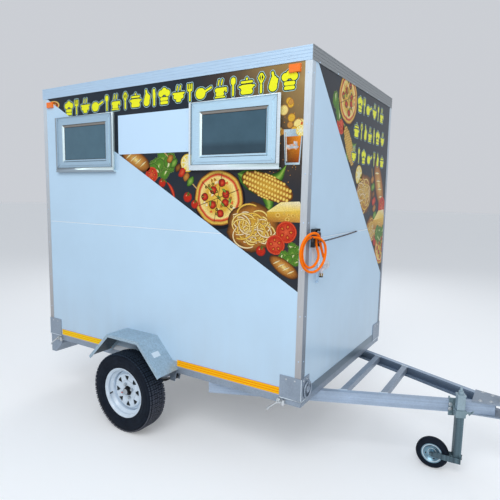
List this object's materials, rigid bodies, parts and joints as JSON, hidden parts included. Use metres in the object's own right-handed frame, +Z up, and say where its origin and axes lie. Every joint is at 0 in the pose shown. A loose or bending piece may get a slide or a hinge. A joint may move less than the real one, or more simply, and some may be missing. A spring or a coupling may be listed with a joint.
{
  "type": "mobile kitchen box trailer",
  "caption": "White box trailer fitted as a mobile kitchen: single axle, A-frame drawbar with jockey wheel, side windows, serving hatch and rear door.",
  "frame": {"origin": "on the ground under the middle of the trailer's overall length, on its centre line", "axes": "+X forwards to the coupler, +Y to the trailer's left, +Z up"},
  "size_m": [3.7914, 2.0292, 2.545],
  "materials": {
    "galvanised": "hot-dip galvanised, matt with spangle",
    "zinc_plate": "bright zinc plate",
    "dark_steel": "black paint",
    "white_panel": "satin white sheet",
    "floor_sheet": "tread plate",
    "aluminium": "mill finish with fine draw lines",
    "stainless": "brushed",
    "white_rim": "gloss white",
    "hub_steel": "zinc plate, worn",
    "tyre_rubber": "matt black rubber",
    "tinted_glass": "dark tinted",
    "red_lens": "clear red",
    "amber_lens": "clear amber",
    "white_sheet": "smooth white",
    "orange_hose": "smooth orange",
    "regulator_zinc": "cast, satin",
    "black_handle": "satin black"
  },
  "bodies": {
    "trailer": {"side_rails": "galvanised", "cross_members": "galvanised", "drawbar_arms": "galvanised", "drawbar_struts": "galvanised", "hitch_plates": "galvanised", "coupler_body": "zinc_plate", "coupler_lever": "zinc_plate", "jockey_clamp": "galvanised", "axle_beam": "galvanised", "leaf_springs": "dark_steel", "spring_hangers": "galvanised", "axle_clamps": "galvanised", "mudguards": "galvanised", "floor_panel": "floor_sheet", "roof_panel": "white_panel", "right_wall": "white_panel", "left_wall": "white_panel", "front_wall": "white_panel", "rear_wall": "white_panel", "corner_trims": "aluminium", "roof_trim": "aluminium", "base_trims": "aluminium", "corner_plates": "galvanised", "leg_clamps": "galvanised", "tie_ring": "galvanised", "light_bar": "galvanised", "tail_lamps": "red_lens", "number_plate": "white_sheet", "side_markers": "amber_lens", "sign_panel": "white_sheet", "window_frames": "aluminium", "window_sashes": "aluminium", "window_glass": "tinted_glass", "hatch_frame": "aluminium", "hatch_hinges": "aluminium", "strut_brackets": "dark_steel", "door_hinges": "zinc_plate", "worktop": "stainless", "worktop_brackets": "stainless", "gas_bracket": "dark_steel", "gas_pipe": "galvanised", "gas_regulator": "regulator_zinc", "hose_tube": "orange_hose", "hose_coil": "orange_hose"},
    "wheel_right": {"hub_right": "hub_steel", "rim_right": "white_rim", "tyre_right": "tyre_rubber"},
    "wheel_left": {"hub_left": "hub_steel", "rim_left": "white_rim", "tyre_left": "tyre_rubber"},
    "jockey_leg": {"jockey_tube": "galvanised"},
    "jockey_caster": {"jockey_fork": "galvanised"},
    "jockey_wheel": {"jockey_rim": "zinc_plate", "jockey_tyre": "tyre_rubber"},
    "door": {"rear_door": "white_panel", "door_handle": "black_handle"},
    "hatch": {"serving_hatch": "white_panel"},
    "strut_tube_pair": {"strut_tubes": "dark_steel"},
    "strut_rod_pair": {"strut_rods": "zinc_plate"}
  },
  "joints": [
    {"name": "wheel_right_spin", "type": "hinge", "parent": "trailer", "child": "wheel_right", "pos_m": [-0.7137, -0.936, 0.29], "axis": [0, 1, 0], "continuous": true},
    {"name": "wheel_left_spin", "type": "hinge", "parent": "trailer", "child": "wheel_left", "pos_m": [-0.7137, 0.936, 0.29], "axis": [0, 1, 0], "continuous": true},
    {"name": "jockey_lift", "type": "slide", "parent": "trailer", "child": "jockey_leg", "axis": [0, 0, 1], "range_m": [-0.08, 0.15]},
    {"name": "jockey_swivel", "type": "hinge", "parent": "jockey_leg", "child": "jockey_caster", "pos_m": [1.3973, -0.19688, 0.121], "axis": [0, 0, 1], "continuous": true},
    {"name": "jockey_spin", "type": "hinge", "parent": "jockey_caster", "child": "jockey_wheel", "pos_m": [1.2573, -0.19688, 0.1], "axis": [0, 1, 0], "continuous": true},
    {"name": "rear_door_swing", "type": "hinge", "parent": "trailer", "child": "door", "pos_m": [-1.8457, 0.389, 1.48], "axis": [0, 0, -1], "range_deg": [0, 170]},
    {"name": "hatch_lift", "type": "hinge", "parent": "trailer", "child": "hatch", "pos_m": [-0.6077, 0.821, 2.241], "axis": [1, 0, 0], "range_deg": [0, 90]},
    {"name": "strut_turn", "type": "hinge", "parent": "trailer", "child": "strut_tube_pair", "pos_m": [-0.6077, 0.775, 1.661], "axis": [1, 0, 0], "range_deg": [-18.83, 0]},
    {"name": "strut_slide", "type": "slide", "parent": "strut_tube_pair", "child": "strut_rod_pair", "axis": [0, -0.0217, 0.9998], "range_m": [0, 0.08966]}
  ],
  "couplings": [
    {"joint": "strut_turn", "follows": "hatch_lift", "ratio": -0.20915},
    {"joint": "strut_slide", "follows": "hatch_lift", "m_per_rad": 0.057014}
  ]
}
